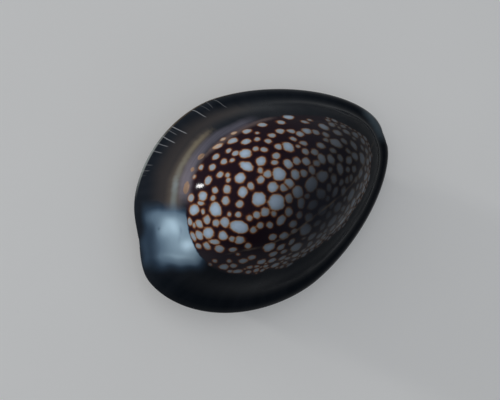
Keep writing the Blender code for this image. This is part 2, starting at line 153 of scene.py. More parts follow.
# The spots that stand out in the photograph: where each one's middle is in its pixels, then the half
# sizes on the shell in tenths of a millimetre, and the turn of the longer one in degrees
SPOTS = (
    (277, 202, 8), (239, 227, 9.2, 6.3, -8), (279, 174, 6.8), (259, 199, 6.8, 6, 60),
    (215, 209, 7, 6.2, -50), (246, 166, 7.6, 4.5, -35), (245, 153, 5.8), (240, 178, 5.3), (209, 233, 5.7),
    (242, 192, 5), (273, 187, 5), (194, 210, 5.5), (203, 196, 4.8), (288, 147, 6.8, 5.6, -50),
    (261, 161, 4.9), (289, 117, 5.5), (324, 127, 6, 5.2, -30), (307, 131, 4.9), (298, 192, 5.6),
    (295, 174, 4.8), (289, 183, 4.7), (284, 188, 3.8), (223, 236, 4.6), (225, 222, 4.4), (224, 267, 4.6),
    (220, 249, 4.8, 4, 0), (240, 240, 4.8, 4, 10), (214, 242, 4.8, 2.6, 5), (207, 246, 4.2, 3.3, -30),
    (199, 246, 2.6), (199, 235, 4.7, 3.4, -60), (193.5, 237, 4.2, 2.6, -60), (189.5, 221.5, 3.7, 2.5, -80),
    (194, 225.5, 2.2, 1.7, 90), (199, 224, 4.1, 3.4, -60), (207, 219, 4.1), (203, 212, 2.6, 1.7, 90),
    (216, 223, 3.5), (230, 214, 1.9), (238, 215, 3.1, 2.6, 0), (249, 218, 3), (256, 215, 3.2),
    (254, 230, 3.5), (232, 239, 2.7), (260, 226, 3.2), (270, 226, 3.7, 2.9, -60), (265, 212, 3.9),
    (274, 214, 2.7), (191, 198, 3.6), (201, 203, 3.3, 1.8, -10), (213, 198, 2.6), (225, 201, 4, 3.6, 90),
    (240, 204, 3.5), (215, 190, 3.1), (227, 189, 3.9), (251, 186, 3.8, 3.1, -70), (208, 180, 4, 3.6, 90),
    (220, 175, 3.3), (228, 175, 2.4), (228, 180, 2.4), (260, 180, 3.7), (268, 174, 3.8), (260, 170, 2.8),
    (275, 163, 3.4, 2.8, 0), (276, 156, 3.8), (264, 149, 3.5, 3, -20), (256, 149, 2.7), (279, 147, 3.8),
    (268, 141, 3.9, 3.2, -40), (257, 139, 3.1), (272, 135, 3.6, 3, -20), (280, 131, 4.1),
    (281, 122, 4.5, 4, -20), (262, 125, 4.4, 4, 0), (291, 131, 4.1, 3.4, -30), (293, 139, 3.9, 3, -20),
    (300, 134, 4.3), (305, 122, 4.1, 3.4, 0), (310, 120, 3, 2.4, 0), (316, 132, 3.8),
    (303, 143, 3.8, 3.1, 0), (298, 146, 2.1), (305, 152, 3.8, 3.3, 0), (212, 167, 3.4), (216, 157, 3.4),
    (224, 162, 3.3), (232, 160, 2.6), (228, 151, 2.8), (235, 153, 3.2), (246, 142, 4.5, 3.8, 0),
    (233, 141, 4.8, 4, 5), (247, 131, 4.7, 3.8, 0), (257, 133, 2), (218, 146, 4.7, 3, 10),
    (201, 156, 4, 3, 30), (201, 167, 3.1), (192, 169, 2.4), (194, 177, 2), (186, 188, 5.8, 3.8, 80),
    (223, 139, 3, 2, 10), (234, 133, 2.4, 1.6, 10), (288, 164, 5.3, 4.2, -70), (297, 161, 4.1),
    (306, 161, 4.3), (304, 173, 3.5), (314, 152, 3.6), (317, 163, 3.6), (322, 159, 5.4, 4.4, -70),
    (331, 160, 5.8, 4.6, -70), (340, 158, 3.9), (340, 169, 5.8, 4.6, -70), (323, 176, 7, 5.4, 10),
    (334, 179, 4.8), (326, 140, 3), (321, 146, 4.8, 4.2, 0), (344, 141, 3.8), (348, 151, 3),
    (354, 145, 5.6, 4.5, -60), (362, 148, 3.4), (354, 169, 3.9), (351, 178, 3.8), (369, 178, 4.2),
    (361, 186, 3.9), (347, 180, 3.8), (289, 198, 4.8, 3.8, 90), (289, 211, 4.8, 3.8, 90),
    (301, 203, 4.8, 4, 90), (281, 220, 5.2, 4, 60), (293, 224, 4.2), (284, 236, 4.8, 4.4, 0),
    (292, 242, 4.7, 3.2, 60), (273, 254, 4.4, 3.8, 0), (261, 262, 4.4), (275, 265, 4.3), (290, 265, 4),
    (304, 255, 3.8), (310, 244, 4.6, 3.6, 70), (319, 236, 3.9), (319, 243, 3.8), (323, 226, 5.2, 4, 80),
    (333, 228, 4.7, 4, 60), (341, 219, 4.3), (350, 212, 4.3), (243, 261, 4.2, 3.4, 0), (234, 266, 3.1),
    (252, 258, 3.5), (250, 267, 2.9), (229, 261, 2.2), (215, 261, 2.2), (210, 264, 2),
    (238, 271, 4.8, 3, 0), (233, 250, 3.8, 2.3, 10), (248, 246, 3.8, 3, 70), (238, 254, 2),
)
SPOT_WALL = 0.13
SPOT_SHRINK = 0.95

# Marks on the shell, as pixels of the photograph that lie on them, with their half-widths in millimetres
# The streak is a painted highlight along the groove at the hump's foot, over some cream colour
SHEEN_STREAK = ((173, 212), (173.5, 203), (174.5, 190), (176, 179), (181, 167), (188, 155), (197, 143), (207, 133),
          (217, 127))
SHEEN_STREAK_HALF_WIDTHS = (0.40, 0.28)
# The veil is the callus's lilac-grey with a painted broad reflection in it
VEIL = ((182, 211), (183, 202), (184, 193), (186, 178), (191, 166), (199, 153), (209, 142), (220, 134),
        (235, 127), (247, 121), (262, 116))
VEIL_HALF_WIDTHS = (0.75, 0.60)
WARM_MARGIN = ((163, 208), (164, 190), (166, 172), (176, 152), (192, 132), (212, 119), (235, 111), (262, 105))
MANTLE_LINE = ((222, 255), (242, 251), (262, 247), (271, 244), (286, 237), (300, 228), (324, 209), (345, 192),
               (357, 178), (364, 164), (370, 145))
# The crescent is the pale front end, painted darker as in shade
CRESCENT = ((359, 106), (364, 110), (371, 117), (377, 126), (382, 137), (384, 146))
END_LINE = ((375, 140), (370, 150), (362, 165))
# The pale end behind, the shell's pale blotch with a painted bluish reflection on it, in pixels: its sides,
# how far each one fades, the columns beyond which its top edge bends, and the part of the shell that is
# looked at
PATCH_TOP = 201
PATCH_BOTTOM = 274.5
PATCH_LEFT = 139
PATCH_RIGHT = 209
PATCH_FADES = dict(top=22.0, bottom=19.0, left=8.0, right=14.0)
PATCH_TOP_BENDS = (162.0, 177.0)
PATCH_MIDDLE = (172, 234)
PATCH_REACH = 60
PATCH_REACH_BELOW = 15
# How pale it is at its left, how much more inside, and where from its left side that grows
PATCH_LEVELS = (0.13, 0.38)
PATCH_GROWS = (11.0, 28.0)
# Paler and darker places in it: middle, half sizes and strength
PATCH_GLOW = ((170, 226, 9, 10, 0.38), (189, 244, 8, 8, 0.48), (154, 217, 9, 8, 0.15),
              (178, 258, 15, 2.0, 0.12), (179, 236, 1.5, 10, -0.06), (160.5, 226.5, 1.5, 1.1, -0.18),
              (180.5, 228, 1.3, 3.0, -0.12))
SMUDGE = ((185, 192), (187, 181), (193, 170), (202, 156), (215, 146), (230, 136), (246, 127), (262, 120),
          (277, 116))
SMUDGE_HALF_WIDTHS = (0.42, 0.28)
# The dark cloud of painted shade over the hump: its middle and half sizes in pixels
PAINTED_SHADE_CLOUD = (321, 208, 30, 32)
# The painted shade on the right, in pixels: the column where it starts, the row where that bends, how it
# leans below and above the bend, and its soft width. Then the row and width of the painted haze low down.
PAINTED_SHADE_FROM = 262.0
PAINTED_SHADE_BEND = 190.0
PAINTED_SHADE_LEANS = (0.35, 0.20)
PAINTED_SHADE_WIDTH = 68.0
PAINTED_HAZE_FROM = 240.0
PAINTED_HAZE_WIDTH = 20.0
# The ends of a painted highlight along the left edge and of the tan rim above it, as pixels
PAINTED_RIM_HIGHLIGHT = ((137, 184), (163, 137))
TAN_RIM = ((163, 137), (245, 92))
# Each pale hairline at the edge: its outer end, its inner end and how strong it is
HAIRLINES = (((217, 101), (228, 108), 0.5), ((207, 103), (214, 109), 0.3), ((203, 107), (211, 112), 0.25),
             ((196, 111), (207, 118), 0.9), ((173, 127), (188, 134), 1.0), ((168, 130), (178, 135), 0.4),
             ((163, 137), (176, 143), 0.9), ((157, 144), (169, 147), 0.6), ((151, 151), (163, 153), 0.6),
             ((144, 165), (154, 165), 0.35), ((143, 171), (151, 171), 0.4), ((143, 176), (148, 175), 0.15))
HIGHLIGHT = (200, 186)
# Where the photograph shows each spot well
WELL_SEEN = ((176, 228), (178, 180), (190, 150), (214, 128), (262, 108), (312, 104), (328, 118), (322, 150),
             (306, 172), (305, 205), (291, 222), (270, 240), (262, 264), (225, 272), (196, 258))
SPOTS_LOWER_ON_RIGHT = 0.45
RIM_LINE = 0.28

KEY_DISTANCE = 0.60
KEY_SIZE = 0.040
KEY_WATTS = 2.9
FILL_PLACE = (-0.27, 0.32, 0.50)
FILL_SIZE = 0.9
FILL_WATTS = 1.2
WORLD_STRENGTH = 0.24
FLOOR_GLOW = 0.14


def smooth_step(values):
    values = np.clip(values, 0.0, 1.0)
    return values * values * (3.0 - 2.0 * values)


def rise(values, start, width):
    """0 up to the start, 1 from a width further on. With a width below zero it falls from 1 to 0."""
    return smooth_step((values - start) / width)


def cloud(x, y, middle_x, middle_y, wide, high):
    """1 in the middle of a soft oval and less round it."""
    return np.exp(-(((x - middle_x) / wide) ** 2) - ((y - middle_y) / high) ** 2)


def power(values, squareness):
    return np.copysign(np.abs(values) ** (2.0 / squareness), values)


def outline_points(shape, angles):
    ahead, across = np.cos(angles), np.sin(angles)
    length = np.where(ahead > 0, shape["front"], shape["back"])
    width = np.where(across > 0, shape["left"], shape["right"])
    taper = np.where(across > 0, shape["taper_left"], shape["taper_right"])
    x = length * power(ahead, shape["squareness"])
    y = width * (1.0 - taper * ahead) * power(across, shape["squareness"])
    return np.stack([x, y], 1) + shape["middle"]


def hill(angles, middle, half_width):
    """1 at an angle given in degrees from the front, and less on both sides of it."""
    turn = (np.degrees(angles) - middle + 180.0) % 360.0 - 180.0
    return np.exp(-((turn / half_width) ** 2))


def noise_at(points, scale, shift=0.0):
    return np.array([noise.noise(place) for place in (points * scale + shift).tolist()])


def edge_points(angles):
    points = outline_points(EDGE, angles)
    inward = -points / np.linalg.norm(points, axis=1, keepdims=True)
    for at, depth, half_width in EDGE_DENTS:
        points = points + inward * (depth * hill(angles, at, half_width))[:, None]
    return points


def gaussian(reach):
    steps = np.arange(-math.ceil(3 * reach), math.ceil(3 * reach) + 1)
    weights = np.exp(-0.5 * (steps / reach) ** 2)
    return steps, weights / weights.sum()


def smooth_round(grid, reach):
    """Evens out the steps of curvature round the shell."""
    return sum(weight * np.roll(grid, step, axis=0) for step, weight in zip(*gaussian(reach)))


def smooth_along(grid, reach):
    """The same along the meridians, which run on through the summit and the middle of the base."""
    steps, weights = gaussian(reach)
    pad = steps[-1]
    opposite = np.roll(grid, len(grid) // 2, axis=0)
    longer = np.concatenate([opposite[:, pad:0:-1], grid, opposite[:, -2:-pad - 2:-1]], axis=1)
    count = grid.shape[1]
    return sum(weight * longer[:, pad + step:pad + step + count] for step, weight in zip(steps, weights))


def meridians(angles):
    edge = edge_points(angles)
    ring = outline_points(HUMP_RING, angles)
    middle = np.broadcast_to(BASE_MIDDLE, edge.shape)
    summit = np.broadcast_to(SUMMIT, edge.shape)
    local = hill(angles, *LESS_FLARED)
    parts = ((middle, edge, BASE_PROFILE), (edge, ring, MARGIN_PROFILE), (ring, summit, HUMP_PROFILE))
    points = []
    for start, end, profile in parts:
        lifts = LESS_FLARED_RISE if profile is MARGIN_PROFILE else (0.0,) * len(profile)
        for (share, height), lift in zip(profile, lifts):
            level = start + (end - start) * share
            points.append(np.column_stack([level, height + lift * local]))
    first = 2.0 * points[0] - points[1]
    last = 2.0 * points[-1] - points[-2]
    first[:, 2] = points[1][:, 2]
    last[:, 2] = points[-2][:, 2]
    return np.stack([first, *points, last], 1)


def between(before, here, there, after, u):
    """The smooth line through four points, at a share of the way from the second to the third."""
    square = (2.0 * before - 5.0 * here + 4.0 * there - after) * u**2
    cube = (3.0 * here - before - 3.0 * there + after) * u**3
    return 0.5 * (2.0 * here + (there - before) * u + square + cube)


def shell_grid():
    """The shell's surface as points by angle and by place from the middle of the base to the summit."""
    controls = meridians(ANGLES)
    places = np.linspace(0.0, SPANS, RINGS_PER_SPAN * SPANS + 1)
    span = np.minimum(places.astype(int), SPANS - 1)
    grid = between(*(controls[:, span + i] for i in range(4)), (places - span)[None, :, None])
    grid = smooth_round(smooth_along(grid, SMOOTH_REACH), SMOOTH_REACH)
    grid[:, 0] = grid[:, 0].mean(axis=0)
    grid[:, -1] = grid[:, -1].mean(axis=0)
    return grid


def grid_normals(grid):
    around = np.roll(grid, -1, axis=0) - np.roll(grid, 1, axis=0)
    upward = np.gradient(grid, axis=1)
    normals = np.cross(around, upward)
    normals[:, 0] = (0.0, 0.0, -1.0)
    normals[:, -1] = (0.0, 0.0, 1.0)
    return normals / np.maximum(np.linalg.norm(normals, axis=2, keepdims=True), 1e-12)


def camera_axes():
    azimuth, elevation, roll = (math.radians(v) for v in (CAMERA_AZIMUTH, CAMERA_ELEVATION, CAMERA_ROLL))
    back = np.array([math.sin(azimuth) * math.cos(elevation), -math.cos(azimuth) * math.cos(elevation),
                     math.sin(elevation)])
    level = np.cross((0.0, 0.0, 1.0), back)
    level /= np.linalg.norm(level)
    upright = np.cross(back, level)
    right = math.cos(roll) * level + math.sin(roll) * upright
    up = -math.sin(roll) * level + math.cos(roll) * upright
    return right, up, back


RIGHT, UP, BACK = camera_axes()
CAMERA_PLACE = CAMERA_TARGET + BACK * CAMERA_DISTANCE


def to_pixels(points):
    offset = points - CAMERA_PLACE
    depth = -(offset @ BACK)
    x = PICTURE[0] / 2 + CAMERA_FOCAL_PIXELS * (offset @ RIGHT) / depth
    y = PICTURE[1] / 2 - CAMERA_FOCAL_PIXELS * (offset @ UP) / depth
    return np.stack([x, y], -1)


class Surface:
    """The shell's upper surface, where a pixel of the photograph can be looked up."""

    def __init__(self, grid, normals):
        self.points = grid.reshape(-1, 3)
        self.normals = normals.reshape(-1, 3)
        self.pixels = to_pixels(self.points)
        facing = ((CAMERA_PLACE - self.points) * self.normals).sum(axis=1) > 0
        self.seen = facing & (self.points[:, 2] > EDGE_LEVEL)

    def find(self, pixel):
        far = ((self.pixels - pixel) ** 2).sum(axis=1)
        return int(np.argmin(np.where(self.seen, far, 1e9)))

    def line(self, pixels, steps=8):
        """Points on the surface along a line that is given by pixels."""
        pixels = np.array(pixels, float)
        shares = np.arange((len(pixels) - 1) * steps + 1) / steps
        part = np.minimum(shares.astype(int), len(pixels) - 2)
        u = (shares - part)[:, None]
        return np.array([self.points[self.find(p)] for p in pixels[part] * (1 - u) + pixels[part + 1] * u])


def distance_to_line(points, line):
    """How far each point is from a line, and how far along the line its nearest place is, as a share."""
    best = np.full(len(points), 1e9)
    along = np.zeros(len(points))
    for i, (start, end) in enumerate(zip(line, line[1:])):
        run = end - start
        share = np.clip(((points - start) @ run) / max(run @ run, 1e-12), 0.0, 1.0)
        far = np.linalg.norm(points - (start + share[:, None] * run), axis=1)
        nearer = far < best
        best[nearer] = far[nearer]
        along[nearer] = (i + share[nearer]) / (len(line) - 1)
    return best, along


def within(pixels, corners):
    """Which pixels lie inside a closed line of corners."""
    x, y = pixels.T
    inside = np.zeros(len(pixels), bool)
    for (x1, y1), (x2, y2) in zip(corners, corners[1:] + corners[:1]):
        crosses = (y1 > y) != (y2 > y)
        inside ^= crosses & (x < x1 + (y - y1) * (x2 - x1) / (y2 - y1 + 1e-9 * (y2 == y1)))
    return inside


def pale_patch(surface):
    """The pale end behind with a painted bluish reflection: soft at its rim, uneven inside, darker to the
    left.
    """
    across, down = surface.pixels.T
    far = np.hypot(across - PATCH_MIDDLE[0], down - PATCH_MIDDLE[1])
    near = surface.seen & (far < PATCH_REACH) & (down < PATCH_BOTTOM + PATCH_REACH_BELOW)
    points = surface.points[near]
    x = across[near] + 4.0 * noise_at(points, 0.5)
    y = down[near] + 5.0 * noise_at(points, 0.5, 7.0)
    top = PATCH_TOP - 2.0 * rise(x, PATCH_TOP_BENDS[0], -8.0)
    top = top + 0.5 * np.maximum(0.0, x - PATCH_TOP_BENDS[1])
    body = rise(y, top, PATCH_FADES["top"]) * rise(y, PATCH_BOTTOM, -PATCH_FADES["bottom"])
    body *= rise(x, PATCH_LEFT, PATCH_FADES["left"]) * rise(x, PATCH_RIGHT, -PATCH_FADES["right"])
    level = PATCH_LEVELS[0] + PATCH_LEVELS[1] * rise(x - PATCH_LEFT, *PATCH_GROWS)
    for *oval, strength in PATCH_GLOW:
        level = level + strength * cloud(x, y, *oval)
    values = np.zeros(len(surface.points))
    values[near] = body * level
    return values


def hairlines(surface, along_edge, from_edge):
    """How far each point is beside its nearest hairline, how far in that ends, and its strength there."""
    beside = np.full(len(along_edge), 9.0)
    reach = np.zeros(len(along_edge))
    strong = np.zeros(len(along_edge))
    for outer, inner, strength in HAIRLINES:
        start, end = surface.find(outer), surface.find(inner)
        lean = (along_edge[end] - along_edge[start]) / max(from_edge[end] - from_edge[start], 0.3)
        offset = along_edge - along_edge[start] - lean * (from_edge - from_edge[start])
        nearer = np.abs(offset) < np.abs(beside)
        beside[nearer] = offset[nearer]
        reach[nearer] = from_edge[end]
        strong[nearer] = strength
    return beside, reach, strong * rise(np.abs(beside), 0.24, -0.08)


def surface_frame(normal):
    """Two directions along the surface: one that runs right in the picture and one that runs up."""
    across = RIGHT - normal * (RIGHT @ normal)
    across /= np.linalg.norm(across)
    return across, np.cross(normal, across)


def seen_spots(surface):
    spots = []
    for x, y, *sizes in SPOTS:
        at = surface.find((x, y))
        long_half, short_half, turn = sizes if len(sizes) == 3 else (sizes[0], sizes[0], 0)
        spots.append((at, SPOT_SHRINK * long_half / 10, SPOT_SHRINK * short_half / 10, math.radians(turn)))
    return spots


def filled_spots(surface, spots, hump, seed=7, tries=26000):
    """Adds spots at random where the others leave room, small ones near the margin.

    Where the photograph shows the spots well, it adds none.
    """
    rng = np.random.default_rng(seed)
    well_seen = surface.seen & within(surface.pixels, WELL_SEEN)
    inside = np.flatnonzero((hump > 0.05) & ~well_seen)
    centres = [surface.points[at] for at, *_ in spots]
    reaches = [max(long_half, short_half) for _, long_half, short_half, _ in spots]
    centres = np.array(centres + [(0.0, 0.0, 0.0)] * 1400)
    reaches = np.array(reaches + [0.0] * 1400)
    count = len(spots)
    spots = list(spots)
    for turn in range(tries):
        at = inside[rng.integers(len(inside))]
        deep = rise(hump[at], 0.3, 3.2)
        biggest = 0.30 + 0.30 * deep
        shrink = 1.0 - 0.62 * turn / tries
        reach = biggest * shrink * rng.uniform(0.75, 1.15)
        if reach > hump[at] + 0.12:
            continue
        gap = 0.10 + 0.10 * deep
        far = np.linalg.norm(centres[:count] - surface.points[at], axis=1)
        if (far < reaches[:count] + reach + gap).any() or count >= len(centres):
            continue
        centres[count] = surface.points[at]
        reaches[count] = reach
        count += 1
        long_half, short_half = reach * rng.uniform(1.0, 1.25), reach * rng.uniform(0.85, 1.0)
        spots.append((at, long_half, short_half, rng.uniform(0, math.pi)))
    return spots


def spot_field(surface, spots, region):
    """For each point of the region, how far it is inside its spot, with a thin wall between neighbours."""
    points = surface.points[region]
    ragged = 0.07 * noise_at(points, 1.7) + 0.05 * noise_at(points, 4.1)
    nearest = np.full(len(points), 9.0)
    second = np.full(len(points), 9.0)
    owner = np.zeros(len(points), int)
    for index, (at, long_half, short_half, turn) in enumerate(spots):
        centre, normal = surface.points[at], surface.normals[at]
        across, upward = surface_frame(normal)
        close = np.flatnonzero(((points - centre) ** 2).sum(axis=1) < (long_half + 1.1) ** 2)
        offset = points[close] - centre
        a, b = offset @ across, offset @ upward
        u = (a * math.cos(turn) + b * math.sin(turn)) / long_half
        v = (b * math.cos(turn) - a * math.sin(turn)) / short_half
        out = (np.sqrt(u * u + v * v) - 1.0) * (long_half + short_half) / 2
        out += ragged[close] * min(1.0, short_half / 0.4)
        first = out < nearest[close]
        second[close] = np.where(first, nearest[close], np.minimum(second[close], out))
        owner[close] = np.where(first, index, owner[close])
        nearest[close] = np.where(first, out, nearest[close])
    return np.minimum(-nearest, (second - nearest - SPOT_WALL) / 2), owner


def shell_marks(grid, normals):
    """Every mark on the shell as a number at each point of the grid."""
    surface = Surface(grid, normals)
    points = surface.points
    steps = np.linalg.norm(np.diff(grid, axis=1), axis=2)
    travelled = np.concatenate([np.zeros((len(grid), 1)), np.cumsum(steps, axis=1)], axis=1)
    edge_ring = round(EDGE_SHARE * (grid.shape[1] - 1))
    hump_ring = round(RING_SHARE * (grid.shape[1] - 1))
    from_edge = (travelled - travelled[:, edge_ring:edge_ring + 1]).reshape(-1)
    lower_on_right = SPOTS_LOWER_ON_RIGHT * smooth_step(-1.6 * np.sin(ANGLES))
    hump = travelled - travelled[:, hump_ring:hump_ring + 1] + lower_on_right[:, None]
    unseen = np.repeat(smooth_step(0.5 + np.cos(ANGLES + 0.9)), grid.shape[1])
    hump = hump.reshape(-1) + 0.9 * (noise_at(points, 0.35) + 0.5 * noise_at(points, 0.9)) * unseen
    edge = grid[:, edge_ring]
    round_edge = np.concatenate([[0.0], np.cumsum(np.linalg.norm(np.diff(edge, axis=0), axis=1))])
    along_edge = np.repeat(round_edge, grid.shape[1])

    region = np.flatnonzero(hump > -0.9)
    spots = filled_spots(surface, seen_spots(surface), hump)
    inside, owner = spot_field(surface, spots, region)
    rng = np.random.default_rng(3)
    spot = np.full(len(points), -0.5)
    spot[region] = np.clip(inside, -0.5, 0.5)
    # Small spots are greyer than large ones
    sizes = np.array([math.sqrt(long_half * short_half) for _, long_half, short_half, _ in spots])
    small = rise(sizes, 0.54, -0.22)
    tone = np.full(len(points), 0.5)
    tone[region] = (0.70 * small + 0.30 * rng.uniform(0.0, 1.0, len(spots)))[owner]

    upper = np.flatnonzero(points[:, 2] > EDGE_LEVEL - 0.6)
    marks = dict(patch=pale_patch(surface), spot=spot, tone=tone, hump=np.clip(hump, -9.0, 9.0),
                 from_edge=from_edge, along_edge=along_edge)

    def band(name, line, widths, soft, fade_in, fade_out):
        """A soft line with its half-widths at both ends, and where along it fades in and out."""
        far, along = distance_to_line(points[upper], surface.line(line))
        ends = rise(along, 0.0, fade_in) * rise(along, 1.0, fade_out - 1.0)
        half_width = widths[0] + (widths[1] - widths[0]) * along
        values = np.zeros(len(points))
        values[upper] = (1.0 - rise(far - half_width, -soft, 2 * soft)) * ends
        marks[name] = values
        places = np.zeros(len(points))
        places[upper] = along
        return places

    # The streak: a painted highlight over cream colour; its brown fringe is colour
    marks["sheen_streak_place"] = band("sheen_streak", SHEEN_STREAK, SHEEN_STREAK_HALF_WIDTHS, 0.30, 0.04, 0.73)
    band("fringe", SHEEN_STREAK, (0.95, 0.60), 0.75, 0.02, 0.80)
    band("warm", WARM_MARGIN, (1.3, 0.9), 1.2, 0.05, 0.85)
    marks["veil_place"] = band("veil", VEIL, VEIL_HALF_WIDTHS, 0.48, 0.32, 0.85)
    band("mantle_line", MANTLE_LINE, (0.10, 0.12), 0.12, 0.08, 0.92)
    band("crescent", CRESCENT, (0.50, 0.75), 0.70, 0.42, 0.62)
    band("end_line", END_LINE, (0.09, 0.09), 0.10, 0.2, 0.8)
    band("smudge", SMUDGE, SMUDGE_HALF_WIDTHS, 0.35, 0.03, 0.92)
    across, down = surface.pixels.T
    facing = ((CAMERA_PLACE - points) * surface.normals).sum(axis=1) / CAMERA_DISTANCE
    # Painted shade over the right side of the hump, where it faces the camera
    below = down - PAINTED_SHADE_BEND
    painted_shade = rise(across + np.where(below > 0.0, *PAINTED_SHADE_LEANS) * below, PAINTED_SHADE_FROM, PAINTED_SHADE_WIDTH)
    faced = smooth_step(facing / 0.45 + 0.05)
    # A painted haze low down that greys the hump like a veil of light; a quarter of it also goes into the
    # painted shade
    low = rise(down, PAINTED_HAZE_FROM, PAINTED_HAZE_WIDTH) * faced
    marks["painted_shade_right"] = np.maximum(painted_shade * faced, 0.25 * low)
    marks["painted_haze_low"] = low * (1.0 - painted_shade)
    turned_away = np.repeat(smooth_step(0.6 + 1.5 * np.cos(ANGLES + 0.44)), grid.shape[1])
    marks["satin"] = rise(np.abs(hump + 1.4), 3.6, -1.6) * turned_away
    # A dark cloud of painted shade over the hump, where it faces the camera
    marks["painted_shade_cloud"] = cloud(across, down, *PAINTED_SHADE_CLOUD) * rise(facing, 0.0, 0.3)
    marks["hair"], marks["hair_end"], marks["hair_strength"] = hairlines(surface, along_edge, from_edge)
    for name, ends in (("painted_rim_highlight", PAINTED_RIM_HIGHLIGHT), ("tan_rim", TAN_RIM)):
        start, end = sorted(along_edge[surface.find(pixel)] for pixel in ends)
        started = smooth_step((along_edge - start) / 4.0 + 0.5)
        marks[name] = started * smooth_step((end - along_edge) / 4.0 + 0.5)
    return marks, surface


def new_mesh(name, points, faces):
    mesh = bpy.data.meshes.new(name)
    mesh.from_pydata(points, [], faces)
    mesh.update()
    return mesh


def new_object(name, data):
    obj = bpy.data.objects.new(name, data)
    bpy.context.scene.collection.objects.link(obj)
    return obj


def mesh_from(bm, name):
    mesh = bpy.data.meshes.new(name)
    bm.to_mesh(mesh)
    bm.free()
    return mesh


def add_ball(bm, middle, half_sizes, segments, rings):
    place = Matrix.Translation(tuple(middle)) @ Matrix.Diagonal((*half_sizes, 1.0))
    bmesh.ops.create_uvsphere(bm, u_segments=segments, v_segments=rings, radius=1.0, matrix=place)


def evaluated(*objects):
    """The first object's mesh with its modifiers applied. All the objects are removed."""
    graph = bpy.context.evaluated_depsgraph_get()
    result = bpy.data.meshes.new_from_object(objects[0].evaluated_get(graph))
    for obj in objects:
        bpy.data.objects.remove(obj, do_unlink=True)
    return result


def grid_mesh(name, grid):
    """The grid as a closed mesh with one point at each pole."""
    segments, rings = grid.shape[:2]
    body = grid[:, 1:-1].reshape(-1, 3)
    rows = rings - 2
    points = np.concatenate([body, grid[:1, 0], grid[:1, -1]])
    i = np.arange(segments)[:, None]
    j = np.arange(rows - 1)[None, :]
    following = (i + 1) % segments
    quads = np.stack(np.broadcast_arrays(i * rows + j, following * rows + j, following * rows + j + 1,
                                         i * rows + j + 1), -1).reshape(-1, 4)
    low, high = len(body), len(body) + 1
    k = np.arange(segments)
    after = (k + 1) % segments
    bottom = np.stack([np.full(segments, low), after * rows, k * rows], -1)
    top = np.stack([np.full(segments, high), k * rows + rows - 1, after * rows + rows - 1], -1)
    faces = quads.tolist() + bottom.tolist() + top.tolist()
    return new_mesh(name, points.tolist(), faces)


def slot_y(x):
    along = x / SLOT_END
    return SLOT_Y + SLOT_BEND_BACK * max(0.0, 0.1 - along) ** 2 + SLOT_BEND_FRONT * max(0.0, along) ** 2


def slot_width(x):
    along = x / SLOT_END
    widening = rise(abs(along), CANAL_START, 1.0 - CANAL_START)
    canal = CANAL_WIDTH_FRONT if along > 0 else CANAL_WIDTH_BACK
    return SLOT_WIDTH + (canal - SLOT_WIDTH) * widening


def loft(name, rings):
    """A closed mesh through rings of equally many points."""
    count = len(rings[0])
    points = [point for ring in rings for point in ring]
    faces = []
    for row in range(len(rings) - 1):
        for i in range(count):
            j = (i + 1) % count
            faces.append((row * count + i, row * count + j, (row + 1) * count + j, (row + 1) * count + i))
    faces.append(tuple(range(count)))
    faces.append(tuple(range((len(rings) - 1) * count, len(rings) * count)))
    mesh = new_mesh(name, points, faces)
    bm = bmesh.new()
    bm.from_mesh(mesh)
    bmesh.ops.triangulate(bm, faces=[face for face in bm.faces if len(face.verts) > 4])
    bmesh.ops.recalc_face_normals(bm, faces=bm.faces)
    bm.to_mesh(mesh)
    bm.free()
    return mesh


def both_sides(x, one_side):
    """A ring at x from the places on one side, as how far from the slot's middle and how high."""
    other_side = [(-across, height) for across, height in reversed(one_side)]
    return [(x, slot_y(x) + across, height) for across, height in (*one_side, *other_side)]


def slot_cutter():
    rings = []
    lip_steps = 7
    for i in range(SLOT_SECTIONS):
        x = SLOT_END * (2.0 * i / (SLOT_SECTIONS - 1) - 1.0)
        half = slot_width(x) / 2.0
        canal_top = CANAL_TOP_FRONT if x > 0 else CANAL_TOP_BACK
        lowered = rise(abs(x) / SLOT_END, ROOF_FALL[0], ROOF_FALL[1] - ROOF_FALL[0])
        roof = SLOT_TOP + (canal_top - SLOT_TOP) * lowered
        side = [(half + LIP_ROUND * 1.7, SLOT_BELOW)]
        for step in range(lip_steps + 1):
            turn = 0.5 * math.pi * step / lip_steps
            side.append((half + LIP_ROUND * 1.25 * (1.0 - math.sin(turn)),
                         LIP_TOP - LIP_ROUND * 1.4 * math.cos(turn)))
        side += [(half, roof - LIP_ROUND), (half * 0.85, roof - LIP_ROUND * 0.4), (half * 0.5, roof)]
        rings.append(both_sides(x, side))
    return loft("aperture", rings)


def teeth_mesh():
    """Rounded ridges across both lips, joined into one mesh."""
    bm = bmesh.new()
    for row in LIP_TEETH:
        for i in range(row["count"]):
            share = i / (row["count"] - 1)
            x = row["back"] + (row["front"] - row["back"]) * share
            size = 1.0 - 0.25 * abs(2.0 * share - 1.0) ** 3
            reach = row["reach"] * (1.0 - 0.2 * abs(2.0 * share - 1.0) ** 2)
            inner_end = slot_y(x) + row["side"] * (slot_width(x) / 2.0 - TOOTH_INTO_SLOT)
            add_ball(bm, (x, inner_end + row["side"] * reach, TOOTH_LEVEL),
                     (TOOTH_HALF_WIDTH * size, reach, TOOTH_HALF_HEIGHT * size), 36, 24)
    return mesh_from(bm, "teeth")


def boolean(mesh, other, operation):
    """One mesh cut by or joined with another."""
    obj = new_object("first", mesh)
    helper = new_object("second", other)
    modifier = obj.modifiers.new("boolean", "BOOLEAN")
    modifier.operation = operation
    modifier.solver = "MANIFOLD"
    modifier.object = helper
    return evaluated(obj, helper)


def mesh_points(mesh):
    flat = np.empty(len(mesh.vertices) * 3)
    mesh.vertices.foreach_get("co", flat)
    return flat.reshape(-1, 3)


def set_points(mesh, points):
    mesh.vertices.foreach_set("co", np.ascontiguousarray(points).reshape(-1))
    mesh.update()


